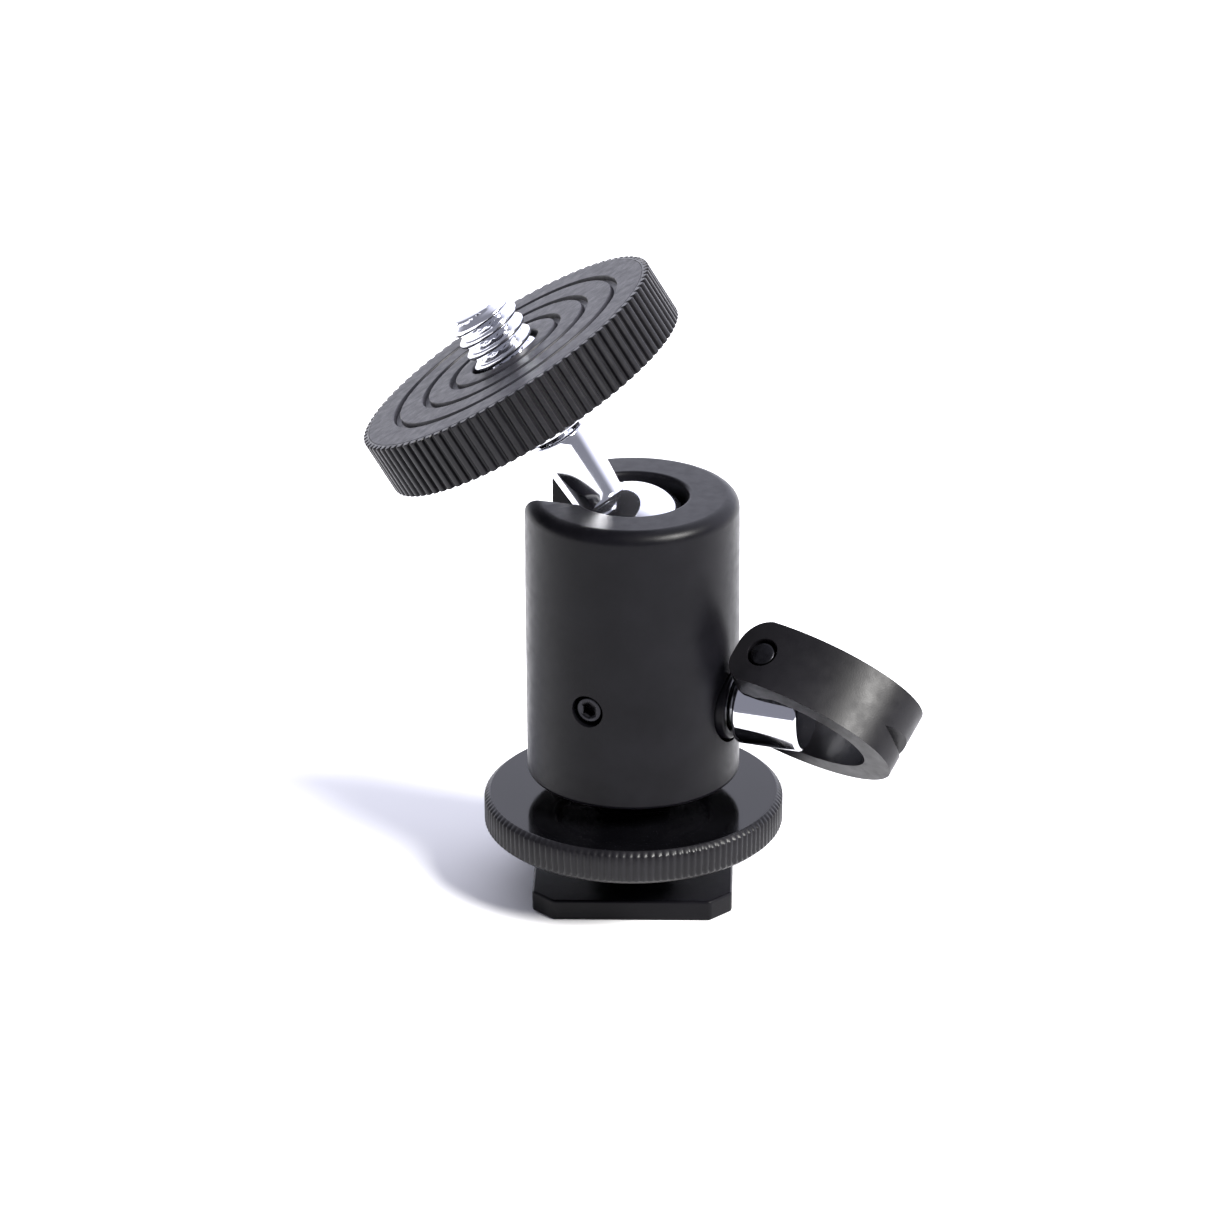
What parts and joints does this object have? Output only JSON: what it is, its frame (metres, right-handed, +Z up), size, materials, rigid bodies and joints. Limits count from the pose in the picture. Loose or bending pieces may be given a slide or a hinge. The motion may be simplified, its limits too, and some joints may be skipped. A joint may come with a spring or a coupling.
{
  "type": "mini ball head",
  "caption": "Small tilting ball head with a knurled camera platform, a side lock screw with a folding loop handle, and an accessory-shoe foot with a clamp ring.",
  "frame": {"origin": "centre of the foot's flat underside, on the housing's axis", "axes": "+Z up along the housing, +X along the foot's front edge towards the lock handle"},
  "size_m": [0.0512, 0.0307, 0.0603],
  "materials": {
    "satin_black": "fine satin black anodising",
    "gloss_black": "polished black anodising, fine straight knurl on the rim",
    "knurled_black": "black anodising, straight ribs on the rim",
    "chrome": "bright chrome plate",
    "steel": "machined steel",
    "black_steel": "black oxide steel",
    "nylon": "moulded nylon",
    "rubber": "matt rubber with turned rings"
  },
  "bodies": {
    "shoe": {"shoe_foot": "satin_black", "shoe_column": "satin_black", "mount_stud": "black_steel"},
    "washer": {"clamp_washer": "satin_black"},
    "ring": {"lock_ring": "gloss_black"},
    "housing": {"body_shell": "satin_black", "base_plug": "black_steel", "lock_bush": "satin_black", "set_screw": "black_steel", "push_piston": "steel", "seat_washer": "rubber"},
    "seat": {"lower_seat": "nylon"},
    "ball": {"ball_stem": "chrome"},
    "platform": {"stem_collar": "chrome", "platform_disc": "knurled_black", "platform_pad": "rubber", "camera_screw": "chrome"},
    "screw": {"cone_pin": "steel", "lock_screw": "chrome", "hinge_pin": "black_steel"},
    "handle": {"loop_handle": "satin_black"}
  },
  "joints": [
    {"name": "ring_travel", "type": "slide", "parent": "shoe", "child": "washer", "axis": [0, 0, 1], "range_m": [-0.0021, 0.002]},
    {"name": "ring_turn", "type": "hinge", "parent": "washer", "child": "ring", "pos_m": [0, 0, 0.00755], "axis": [0, 0, 1], "range_deg": [-750, 715]},
    {"name": "head_pan", "type": "hinge", "parent": "shoe", "child": "housing", "pos_m": [0, 0, 0.0116], "axis": [0, 0, 1], "range_deg": [-90, 90]},
    {"name": "ball_swing", "type": "hinge", "parent": "housing", "child": "seat", "pos_m": [0, 0, 0.03365], "axis": [0, 0, 1], "range_deg": [-11, 1]},
    {"name": "ball_tilt", "type": "hinge", "parent": "seat", "child": "ball", "pos_m": [0, 0, 0.03365], "axis": [-0.284, -0.9588, 0], "range_deg": [-54, 58]},
    {"name": "platform_spin", "type": "hinge", "parent": "ball", "child": "platform", "pos_m": [0, 0, 0.03365], "axis": [-0.5201, 0.0501, 0.8526], "continuous": true},
    {"name": "lock_turn", "type": "hinge", "parent": "housing", "child": "screw", "pos_m": [0, 0, 0.0194], "axis": [0.9483, -0.3173, 0], "range_deg": [0, 120]},
    {"name": "loop_fold", "type": "hinge", "parent": "screw", "child": "handle", "pos_m": [0.01337, -0.00259, 0.02085], "axis": [-0.1997, -0.5968, 0.7771], "range_deg": [-45, 90]}
  ],
  "couplings": [
    {"joint": "ring_travel", "follows": "ring_turn", "m_per_rad": 0.00015915}
  ]
}
